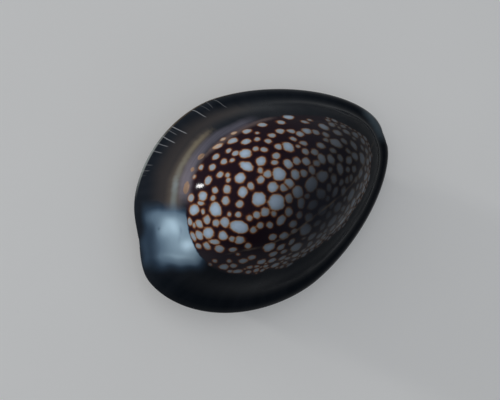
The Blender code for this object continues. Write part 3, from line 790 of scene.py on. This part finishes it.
def add_number(mesh, name, values):
    attribute = mesh.attributes.new(name, "FLOAT", "POINT")
    attribute.data.foreach_set("value", np.ascontiguousarray(values, dtype=np.float32))


def dressed(mesh, name, material):
    """The finished mesh as an object in the frame, smooth and with its material."""
    set_points(mesh, (mesh_points(mesh) + TIP_LINE_PLACE) * MM)
    mesh.name = name
    mesh.shade_smooth()
    mesh.materials.clear()
    mesh.materials.append(material)
    return new_object(name, mesh)


class Nodes:
    """Short calls for building a material's nodes."""

    def __init__(self, name):
        self.material = bpy.data.materials.new(name)
        self.material.use_nodes = True
        self.tree = self.material.node_tree
        self.shader = self.tree.nodes["Principled BSDF"]

    def put(self, socket, value):
        if isinstance(value, bpy.types.NodeSocket):
            self.tree.links.new(value, socket)
        elif isinstance(value, tuple) and len(value) == 3 and socket.type == "RGBA":
            socket.default_value = (*value, 1.0)
        else:
            socket.default_value = value

    def node(self, kind, inputs, output=0, **settings):
        """Adds a node with its settings and with values or links for its inputs, and gives an output."""
        node = self.tree.nodes.new("ShaderNode" + kind)
        for name, value in settings.items():
            setattr(node, name, value)
        for key, value in inputs.items():
            self.put(node.inputs[key], value)
        return node.outputs[output]

    def number(self, name, share=None):
        """A number that the mesh holds, or a share of it."""
        value = self.node("Attribute", {}, "Fac", attribute_name=name)
        return value if share is None else self.times(value, share)

    def math(self, operation, a, b=0.0):
        return self.node("Math", {0: a, 1: b}, operation=operation)

    def times(self, first, *others):
        for other in others:
            first = self.math("MULTIPLY", first, other)
        return first

    def plus(self, a, b):
        return self.math("ADD", a, b)

    def minus(self, a, b):
        return self.math("SUBTRACT", a, b)

    def spread(self, value, low, high, to_low=0.0, to_high=1.0, smooth=True):
        inputs = dict(enumerate((value, low, high, to_low, to_high)))
        return self.node("MapRange", inputs, interpolation_type="SMOOTHSTEP" if smooth else "LINEAR")

    def mix(self, share, a, b):
        return self.node("Mix", {"Factor": share, 6: a, 7: b}, 2, data_type="RGBA")

    def place(self):
        return self.node("TexCoord", {}, "Object")

    def noise(self, scale, detail, place=None):
        inputs = {"Vector": place or self.place(), "Scale": scale, "Detail": detail}
        return self.node("TexNoise", inputs, "Fac")

    def cells(self, scale):
        return self.node("TexVoronoi", {"Vector": self.place(), "Scale": scale}, "Distance")

    def join(self, x, y):
        return self.node("CombineXYZ", {0: x, 1: y})

    def bump(self, height, strength, distance):
        return self.node("Bump", {"Strength": strength, "Distance": distance, "Height": height}, "Normal")

    def ramp(self, value, stops):
        node = self.tree.nodes.new("ShaderNodeValToRGB")
        self.put(node.inputs[0], value)
        elements = node.color_ramp.elements
        while len(elements) < len(stops):
            elements.new(0.5)
        for element, (place, colour) in zip(elements, stops):
            element.position = place
            element.color = (*colour, 1.0)
        return node.outputs["Color"]

    def shade(self, **values):
        for name, value in values.items():
            self.put(self.shader.inputs[name.replace("_", " ").title().replace("Ior", "IOR")], value)
        return self.material


def enamel_material():
    n = Nodes("enamel")
    wobble = n.minus(n.noise(1400, 2.0), 0.5)
    drift = n.noise(160, 3.0)

    # The margin: slate, warmer towards the streak, with faint lines that run inwards from the edge
    from_edge, along_edge = n.number("from_edge"), n.number("along_edge")
    growth = n.noise(1.0, 3.0, n.join(n.times(along_edge, 1.1), n.times(from_edge, 0.22)))
    slate = n.ramp(growth, ((0.30, (0.0062, 0.0085, 0.0120)), (0.70, (0.0096, 0.0120, 0.0162))))
    warm = n.mix(drift, (0.017, 0.016, 0.018), (0.034, 0.030, 0.029))
    margin = n.mix(n.number("warm"), slate, warm)
    brown = n.mix(drift, (0.058, 0.047, 0.039), (0.098, 0.081, 0.066))
    margin = n.mix(n.number("fringe", 0.85), margin, brown)

    # The hump: pale spots with orange-brown rims in a dark net
    inside = n.plus(n.number("spot"), n.times(wobble, 0.30))
    scaled = n.spread(inside, -0.25, 0.50, smooth=False)
    # The hump's colours twice: lit, and dim as painted shade, which the right side takes
    net_stops = ((0.027, (0.0125, 0.0065, 0.010)), (0.147, (0.026, 0.011, 0.012)),
                 (0.233, (0.060, 0.021, 0.013)), (0.307, (0.19, 0.078, 0.031)),
                 (0.380, (0.250, 0.198, 0.150)), (0.480, (0.230, 0.280, 0.340)),
                 (0.667, (0.268, 0.335, 0.415)), (0.893, (0.300, 0.378, 0.475)))
    lit = n.ramp(scaled, net_stops)
    dim_stops = ((0.067, (0.018, 0.016, 0.021)), (0.213, (0.025, 0.020, 0.022)),
                 (0.320, (0.052, 0.040, 0.033)), (0.427, (0.084, 0.077, 0.071)),
                 (0.573, (0.104, 0.113, 0.129)), (0.893, (0.116, 0.128, 0.147)))
    dim = n.ramp(scaled, dim_stops)
    hump_colour = n.mix(n.number("painted_shade_right"), lit, dim)
    greyer = n.times(n.spread(n.number("tone"), 0.0, 1.0, 0.0, 0.50), n.spread(inside, 0.0, 0.1))
    # The small spots' grey, lit and dim as painted shade on the right side
    grey = n.mix(n.number("painted_shade_right"), (0.185, 0.197, 0.205), (0.068, 0.074, 0.083))
    hump_colour = n.mix(greyer, hump_colour, grey)
    # Darkened under the cloud of painted shade
    hump_colour = n.mix(n.number("painted_shade_cloud", 0.80), hump_colour, (0.020, 0.021, 0.028))
    # The painted haze low down greys the hump
    hump_colour = n.mix(n.number("painted_haze_low", 0.22), hump_colour, (0.066, 0.064, 0.074))
    smudge = n.mix(n.spread(inside, -0.14, 0.06), (0.105, 0.076, 0.072), (0.42, 0.275, 0.165))
    hump_colour = n.mix(n.number("smudge", 0.7), hump_colour, smudge)
    on_hump = n.spread(n.plus(n.number("hump"), n.times(wobble, 0.5)), -0.35, 0.20)
    colour = n.mix(on_hump, margin, hump_colour)

    # The callus over the upper left of the hump with a painted broad reflection in it, the streak outside it
    # as a painted highlight over cream colour, and the pale end behind with a painted bluish reflection on it
    lines = n.noise(1.0, 2.0, n.join(n.times(from_edge, 4.0), n.times(along_edge, 0.12)))
    # The callus's lilac-grey with a painted broad reflection, brighter at its lower end
    veil_low = n.mix(lines, (0.140, 0.123, 0.143), (0.217, 0.193, 0.224))
    veil_high = n.mix(lines, (0.053, 0.050, 0.064), (0.105, 0.102, 0.129))
    veil = n.mix(n.spread(n.number("veil_place"), 0.15, 0.65), veil_low, veil_high)
    veil = n.mix(n.spread(inside, -0.10, 0.05, 0.0, 0.75), veil, (0.40, 0.24, 0.135))
    colour = n.mix(n.number("veil", 0.72), colour, veil)
    # The streak's colour: cream with a painted highlight, palest in its lower part
    sheen_cream = n.ramp(n.number("sheen_streak_place"), ((0.20, (0.120, 0.131, 0.126)), (0.31, (0.162, 0.184, 0.188)),
                                              (0.44, (0.130, 0.124, 0.104)), (0.72, (0.118, 0.101, 0.071))))
    uneven = n.spread(n.noise(300, 2.0), 0.2, 0.7, 0.65, 0.95)
    colour = n.mix(n.times(n.number("sheen_streak"), uneven), colour, sheen_cream)
    off_hump = n.spread(n.plus(n.number("hump"), n.times(wobble, 0.3)), 0.10, -0.15)
    mottle = n.spread(n.noise(420, 4.0), 0.25, 0.75, 0.93, 1.0)
    patch = n.times(n.number("patch"), off_hump, mottle)
    # Pale blue-white: the pale end's colour with a painted bluish reflection
    pale_stops = ((0.12, (0.038, 0.066, 0.105)), (0.45, (0.155, 0.222, 0.28)), (0.95, (0.40, 0.535, 0.63)))
    pale = n.ramp(patch, pale_stops)
    colour = n.mix(n.spread(patch, 0.0, 0.25, smooth=False), colour, pale)
    # The pale front end, painted darker as in shade
    colour = n.mix(n.number("crescent", 0.85), colour, (0.105, 0.138, 0.158))
    broken = n.spread(n.noise(700, 2.0), 0.35, 0.6, 0.15, 0.60)
    colour = n.mix(n.times(n.number("mantle_line"), broken), colour, (0.11, 0.086, 0.065))
    colour = n.mix(n.number("end_line", 0.5), colour, (0.060, 0.048, 0.038))

    # The edge: fine pale hairs that run inwards, a tan rim, and a painted highlight along the rim at the left
    hair = n.spread(n.math("ABSOLUTE", n.number("hair")), 0.075, 0.02)
    hair_ends = n.spread(n.minus(n.number("hair_end"), from_edge), 0.0, 0.5)
    hair = n.times(hair, hair_ends, n.spread(from_edge, 0.0, 0.25), n.number("hair_strength"), 0.75)
    colour = n.mix(hair, colour, (0.21, 0.215, 0.225))
    rim = n.spread(n.math("ABSOLUTE", n.minus(from_edge, RIM_LINE)), 0.32, 0.12)
    colour = n.mix(n.times(rim, n.number("tan_rim"), 0.6), colour, (0.085, 0.064, 0.040))
    # A painted highlight along the rim at the left
    colour = n.mix(n.times(rim, n.number("painted_rim_highlight"), 0.62), colour, (0.24, 0.26, 0.25))

    # The base: dark outside, cream round the aperture, with white teeth
    under = n.spread(n.plus(from_edge, n.times(n.minus(drift, 0.5), 1.6)), -1.6, -4.6)
    cream_base = n.mix(n.noise(260, 4.0), (0.32, 0.26, 0.20), (0.52, 0.44, 0.35))
    colour = n.mix(under, colour, cream_base)
    colour = n.mix(n.number("teeth"), colour, (0.75, 0.71, 0.62))

    # The flank that is turned away is satin, where the shell's flare and the floor would mirror in it
    gloss = n.spread(n.noise(500, 3.0), 0.3, 0.7, 0.05, 0.09)
    n.shade(base_color=colour, roughness=n.plus(gloss, n.number("satin", 0.45)), ior=1.07,
            normal=n.bump(n.noise(260, 2.0), 0.08, 0.0002))
    return n.material


def make_shell():
    grid = shell_grid()
    marks, surface = shell_marks(grid, grid_normals(grid))
    mesh = boolean(grid_mesh("shell_body", grid), slot_cutter(), "DIFFERENCE")
    mesh = boolean(mesh, teeth_mesh(), "UNION")
    points = mesh_points(mesh)
    tree = KDTree(len(surface.points))
    for index, point in enumerate(surface.points):
        tree.insert(point, index)
    tree.balance()
    nearest = np.array([tree.find(point)[1] for point in points])
    for name, values in marks.items():
        add_number(mesh, name, values[nearest])
    teeth = rise(from_slot(points), 2.5, -0.7) * (1.0 - rise(np.abs(points[:, 0]), 11.0, 1.5))
    add_number(mesh, "teeth", teeth * smooth_step((2.30 - points[:, 2]) / 0.08 + 0.5) * (points[:, 2] < 2.4))
    obj = dressed(mesh, "shell_enamel", enamel_material())
    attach(obj, "root")
    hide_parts("shell")
    return surface


def curve_through(points, steps):
    """A smooth line through all points."""
    points = np.array(points, float)
    longer = np.concatenate([2 * points[:1] - points[1:2], points, 2 * points[-1:] - points[-2:-1]])
    places = np.arange((len(points) - 1) * steps + 1) / steps
    span = np.minimum(places.astype(int), len(points) - 2)
    return between(*(longer[span + i] for i in range(4)), (places - span)[:, None])


def tube(name, route, radii, sides=28, lobes=0, lobe_depth=0.0):
    """A closed round tube along a route, with lobes round its last part where asked."""
    rings = []
    for i, (point, radius) in enumerate(zip(route, radii)):
        ahead = route[min(i + 1, len(route) - 1)] - route[max(i - 1, 0)]
        ahead = ahead / np.linalg.norm(ahead)
        across = np.cross(ahead, (0.0, 0.0, 1.0))
        across /= np.linalg.norm(across)
        upward = np.cross(across, ahead)
        late = rise(i / (len(route) - 1), 0.7, 0.3)
        ring = []
        for side in range(sides):
            turn = math.tau * side / sides
            reach = radius * (1.0 + lobe_depth * late * math.cos(lobes * turn))
            ring.append(tuple(point + (across * math.cos(turn) + upward * math.sin(turn)) * reach))
        rings.append(ring)
    return loft(name, rings)


def blob(name, middle, half_sizes, segments=48):
    bm = bmesh.new()
    add_ball(bm, middle, half_sizes, segments, segments // 2)
    return mesh_from(bm, name)


def foot_half_width(x):
    along = (x - (FOOT_FRONT + FOOT_BACK) / 2.0) / ((FOOT_FRONT - FOOT_BACK) / 2.0)
    width = FOOT_HALF_WIDTH * (1.0 + FOOT_TAPER * along)
    return width * max(0.0, 1.0 - abs(along) ** FOOT_POWER) ** (1.0 / FOOT_POWER)


def foot_mesh():
    """The creeping foot: flat below, with a thin ruffled edge and a low back."""
    rings = []
    for i in range(FOOT_SECTIONS):
        turn = math.pi * (i + 0.5) / FOOT_SECTIONS
        x = (FOOT_FRONT + FOOT_BACK) / 2.0 - (FOOT_FRONT - FOOT_BACK) / 2.0 * math.cos(turn)
        half = foot_half_width(x)
        section = []
        for side in (1, -1):
            phase = math.tau * x / RUFFLE_LENGTH + 1.4 * math.sin(0.55 * x + side)
            reach = half * (1.0 + RUFFLE / FOOT_HALF_WIDTH * (math.sin(phase) - 0.6))
            lift = 0.07 * math.sin(phase + 0.8) * rise(half, 1.0, 2.0)
            thin = min(1.0, half / 1.4)
            row = [(reach - 0.30 * thin, 0.0), (reach - 0.10 * thin, 0.07), (reach, 0.22 + lift / 2),
                   (reach - 0.08 * thin, 0.40 + lift), (reach - 0.34 * thin, PLATE_EDGE + lift * 0.7),
                   (reach * 0.80, PLATE_EDGE + 0.16), (reach * 0.52, PLATE_TOP - 0.02),
                   (reach * 0.22, PLATE_TOP + 0.06)]
            row = row if side == 1 else row[::-1]
            section += [(x, side * across, height) for across, height in row]
        rings.append(section)
    return loft("foot_back", rings)


def neck_mesh():
    """The body between foot and shell, with a narrow fold that goes up between the teeth."""
    rings = []
    count = 121
    for i in range(count):
        share = i / (count - 1)
        x = NECK_BACK + (NECK_FRONT - NECK_BACK) * share
        near_end = smooth_step(min(share, 1.0 - share) / 0.10 + 0.05)
        half = NECK_HALF_WIDTH * (0.45 + 0.55 * near_end)
        top = PLATE_TOP + (NECK_TOP - PLATE_TOP) * near_end
        fold = top + (FOLD_TOP - top) * smooth_step((near_end - 0.5) * 2.0)
        side = ((half + 0.5, 0.3), (half + 0.12, PLATE_TOP), (half, (PLATE_TOP + top) / 2),
                (half * 0.8, top - 0.05), (FOLD_HALF_WIDTH + 0.06, top),
                (FOLD_HALF_WIDTH, top + (fold - top) * 0.3 + 0.01), (FOLD_HALF_WIDTH * 0.7, fold + 0.02))
        rings.append(both_sides(x, side))
    return loft("neck", rings)


def ribbon_mesh(side):
    """One edge of the drawn-in mantle, frilled outwards."""
    rings = []
    count = 321
    for i in range(count):
        share = i / (count - 1)
        x = MANTLE_BACK + (MANTLE_FRONT - MANTLE_BACK) * share
        bow = math.sqrt(max(0.0, 1.0 - (2.0 * share - 1.0) ** 2))
        outer = MANTLE_END + (MANTLE_OUTER - MANTLE_END) * bow
        phase = math.tau * FRILLS * share
        outer += FRILL * bow * (math.sin(phase) + 0.28 * math.sin(3.1 * phase + side))
        wave = 0.05 * bow * math.sin(phase + 1.2)
        low, high = MANTLE_BOTTOM + 0.05 + wave, MANTLE_TOP + wave
        section = ((MANTLE_INNER, low - 0.1), (outer - 0.7, low), (outer - 0.25, low + 0.03),
                   (outer, (low + high) / 2), (outer - 0.2, high - 0.04), (outer - 0.7, high - 0.02),
                   (MANTLE_INNER, high + 0.08))
        rings.append([(x, slot_y(x) + side * across, height) for across, height in section])
    return loft("ribbon", rings)


def siphon_mesh():
    """The siphon: a tube that leaves the mantle in the front canal and ends in a lobed, hollow mouth."""
    stations = ((8.0, 0.30, 2.9), (10.4, 0.33, 3.05), (11.6, 0.36, SIPHON_LEVEL), (12.4, 0.56, SIPHON_LEVEL),
                (13.3, SIPHON_RADIUS * 0.93, SIPHON_LEVEL), (SIPHON_END - 0.25, SIPHON_RADIUS, SIPHON_LEVEL),
                (SIPHON_END, SIPHON_RADIUS * 0.86, SIPHON_LEVEL))
    line = curve_through([(x, slot_y(x), level) for x, _, level in stations], 6)
    radii = curve_through([(radius, 0.0, 0.0) for _, radius, _ in stations], 6)[:, 0]
    outside = tube("siphon", line, radii, 48, 9, 0.07)
    hole_ends = (SIPHON_END - 1.1, SIPHON_END - 0.5, SIPHON_END + 0.3)
    hole_line = np.array([(x, slot_y(SIPHON_END), SIPHON_LEVEL) for x in hole_ends])
    hole = tube("siphon_mouth", hole_line, (SIPHON_HOLE * 0.7, SIPHON_HOLE, SIPHON_HOLE * 1.5), 32)
    return boolean(outside, hole, "DIFFERENCE")


def tentacle_mesh(side):
    start = np.array([HEAD_MIDDLE[0], HEAD_MIDDLE[1], TENTACLE_LEVEL])
    places = [start + (ahead, side * across, rise) for ahead, across, rise in TENTACLE_ROUTE]
    line = curve_through(places, 12)
    share = np.linspace(0.0, 1.0, len(line))
    ripple = 1.0 + 0.05 * np.sin(share * 46.0)
    radii = TENTACLE_RADIUS * (1.0 - 0.55 * share) * np.sqrt(1.0 - 0.97 * share**8) * ripple
    return tube("feeler", line, radii)


def one_skin(meshes):
    """All bodies fused into one skin without inner walls."""
    bm = bmesh.new()
    for mesh in meshes:
        bm.from_mesh(mesh)
    obj = new_object("flesh", mesh_from(bm, "flesh"))
    remesh = obj.modifiers.new("one_skin", "REMESH")
    remesh.mode = "VOXEL"
    remesh.voxel_size = SKIN_VOXEL
    even = obj.modifiers.new("even", "SMOOTH")
    even.factor = 0.5
    even.iterations = 3
    return evaluated(obj)


def eye_places():
    ahead, across, level = EYE_PLACE
    sides = (("left", 1), ("right", -1))
    return {name: np.array([ahead, HEAD_MIDDLE[1] + side * across, level]) for name, side in sides}


def from_slot(points):
    return np.abs(points[:, 1] - np.array([slot_y(x) for x in points[:, 0]]))


def skin_material():
    n = Nodes("moist_skin")
    mantle, head = n.number("mantle"), n.number("head")
    cloud = n.noise(350, 4.0)
    foot_stops = ((0.32, (0.040, 0.031, 0.025)), (0.50, (0.095, 0.075, 0.058)), (0.68, (0.18, 0.147, 0.115)))
    foot_colour = n.ramp(cloud, foot_stops)
    mantle_colour = n.ramp(cloud, ((0.35, (0.018, 0.014, 0.013)), (0.65, (0.075, 0.060, 0.050))))
    head_colour = n.ramp(cloud, ((0.35, (0.11, 0.060, 0.036)), (0.65, (0.27, 0.165, 0.10))))
    colour = n.mix(mantle, foot_colour, mantle_colour)
    colour = n.mix(head, colour, head_colour)
    specks = n.spread(n.cells(1500), 0.30, 0.16)
    some = n.spread(n.noise(900, 1.0), 0.50, 0.62)
    colour = n.mix(n.times(specks, some, 0.75), colour, (0.48, 0.42, 0.34))
    rim = n.spread(n.number("rim"), 0.0, 1.0)
    colour = n.mix(n.times(rim, 0.5), colour, (0.28, 0.225, 0.155))
    n.shade(base_color=colour, roughness=n.spread(n.noise(800, 3.0), 0.3, 0.7, 0.24, 0.42), ior=1.38,
            normal=n.bump(n.noise(2200, 3.0), 0.35, 0.00006))
    return n.material


def make_flesh():
    """One skin from the tail of the foot to the tips of the feelers, and the two eyes in it."""
    eyes = eye_places()
    meshes = [foot_mesh(), neck_mesh(), ribbon_mesh(1), ribbon_mesh(-1), siphon_mesh()]
    meshes += [blob("head", HEAD_MIDDLE + np.array(offset), half_sizes) for offset, half_sizes in HEAD_FORMS]
    meshes += [tentacle_mesh(1), tentacle_mesh(-1)]
    for side, at in zip((1, -1), eyes.values()):
        meshes.append(blob("socket", at + np.array([-0.05, -side * 0.30, -0.06]), (0.42, 0.44, 0.33), 32))
    mesh = one_skin(meshes)
    points = mesh_points(mesh)
    normals = np.empty(len(points) * 3)
    mesh.vertices.foreach_get("normal", normals)
    x, y, z = points.T
    on_siphon = rise(z, 2.2, 0.3)
    mantle = np.maximum(rise(z, 1.12, 0.15) * rise(from_slot(points), 1.15, 0.3), on_siphon)
    head = rise(x, 9.3, 0.8) * (1.0 - on_siphon)
    mantle = mantle * (1.0 - head)

    # Wrinkles, warts on the mantle, the mouth's slit and the flat sole
    taller = points * (1.0, 1.0, 1.6)
    wrinkle = noise_at(taller, 0.9) + 0.45 * noise_at(taller, 2.7)
    warts = np.maximum(0.0, noise_at(points, 2.1, 9.0) - 0.12)
    depth = (0.035 * wrinkle + 0.16 * warts * mantle) * rise(z, 0.0, 0.35)
    points = points + normals.reshape(-1, 3) * depth[:, None]
    x, y, z = points.T
    mouth = np.exp(-((y - HEAD_MIDDLE[1]) / MOUTH_HALF_WIDTH) ** 2)
    mouth *= rise(x - HEAD_MIDDLE[0], 1.0, 0.4) * (1.0 - on_siphon)
    x -= MOUTH_DEPTH * mouth * (1.0 - rise(np.abs(z - 1.05), 0.25, 0.25))
    z[:] = np.where(z < 0.05, 0.0, z)
    set_points(mesh, points)
    halves = np.array([foot_half_width(place) if FOOT_BACK < place < FOOT_FRONT else 0.0 for place in x])
    rim = rise(np.abs(y) - halves, -0.45, 0.35) * (1.0 - rise(z, 0.45, 0.3))
    for name, values in (("mantle", mantle), ("head", head), ("rim", rim)):
        add_number(mesh, name, values)
    obj = dressed(mesh, "animal_skin", skin_material())
    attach(obj, "root")
    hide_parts("foot", "mantle_left", "mantle_right", "siphon", "head", "tentacle_left", "tentacle_right")
    for name, at in eyes.items():
        make_eye(name, at)


def make_eye(name, at):
    """A wet black bead with a pale ring where it leaves the skin."""
    mesh = blob(f"eye_bead_{name}", (0.0, 0.0, 0.0), (EYE_RADIUS, EYE_RADIUS, EYE_RADIUS), 64)
    points = mesh_points(mesh)
    outward = np.array([0.15, 1.0 if name == "left" else -1.0, 0.35])
    outward /= np.linalg.norm(outward)
    facing = (points @ outward) / EYE_RADIUS
    bulge = 1.0 + 0.05 * rise(facing, 0.5, 0.3) - 0.035 * np.exp(-(((facing - 0.48) / 0.06) ** 2))
    set_points(mesh, points * bulge[:, None] * 0.95 + at)
    add_number(mesh, "ring", np.exp(-(((facing - 0.25) / 0.10) ** 2)))
    n = Nodes(f"eye_{name}_wet_black")
    dark = n.mix(n.noise(3000, 2.0), (0.006, 0.006, 0.008), (0.016, 0.013, 0.014))
    n.shade(base_color=n.mix(n.number("ring", 0.7), dark, (0.30, 0.24, 0.17)), roughness=0.06, ior=1.45)
    obj = dressed(mesh, f"eye_bead_{name}", n.material)
    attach(obj, "root")
    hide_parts(f"eye_{name}")


def make_floor():
    mesh = new_mesh("floor", [(-3, -3, 0), (3, -3, 0), (3, 3, 0), (-3, 3, 0)], [(0, 1, 2, 3)])
    floor = new_object("floor", mesh)
    n = Nodes("pale_floor")
    n.shade(base_color=n.mix(n.noise(60, 4.0), (0.83, 0.82, 0.79), (0.88, 0.87, 0.84)), roughness=0.8,
            emission_color=(0.98, 0.99, 1.0), emission_strength=FLOOR_GLOW)
    mesh.materials.append(n.material)


def area_light(name, place, target, size, watts):
    data = bpy.data.lights.new(name, "AREA")
    data.shape = "DISK"
    data.size = size
    data.energy = watts
    light = new_object(name, data)
    light.location = place
    light.rotation_euler = (Vector(target) - Vector(place)).to_track_quat("-Z", "Y").to_euler()


def make_lights(surface):
    at = surface.find(HIGHLIGHT)
    point, normal = surface.points[at], surface.normals[at]
    view = CAMERA_PLACE - point
    view /= np.linalg.norm(view)
    mirrored = 2.0 * normal * (normal @ view) - view
    centre = (point + TIP_LINE_PLACE) * MM
    area_light("key", centre + mirrored * KEY_DISTANCE, centre, KEY_SIZE, KEY_WATTS)
    overhead = (CAMERA_TARGET + TIP_LINE_PLACE) * MM
    area_light("fill", overhead + np.array(FILL_PLACE), overhead, FILL_SIZE, FILL_WATTS)
    world = bpy.data.worlds.new("soft_room")
    bpy.context.scene.world = world
    world.use_nodes = True
    background = world.node_tree.nodes["Background"].inputs
    background["Color"].default_value = (0.80, 0.86, 0.95, 1.0)
    background["Strength"].default_value = WORLD_STRENGTH


def make_camera():
    data = bpy.data.cameras.new("camera")
    data.sensor_width = SENSOR_WIDTH
    data.lens = CAMERA_FOCAL_PIXELS * SENSOR_WIDTH / PICTURE[0]
    data.clip_start = 0.01
    data.clip_end = 20.0
    camera = new_object("camera", data)
    turned = Matrix((RIGHT, UP, BACK)).transposed().to_4x4()
    camera.matrix_world = Matrix.Translation((CAMERA_PLACE + TIP_LINE_PLACE) * MM) @ turned
    bpy.context.scene.camera = camera


def main():
    surface = make_shell()
    make_flesh()
    make_floor()
    make_lights(surface)
    make_camera()
    bpy.context.scene.view_settings.view_transform = "Standard"
    bpy.context.view_layer.update()


main()
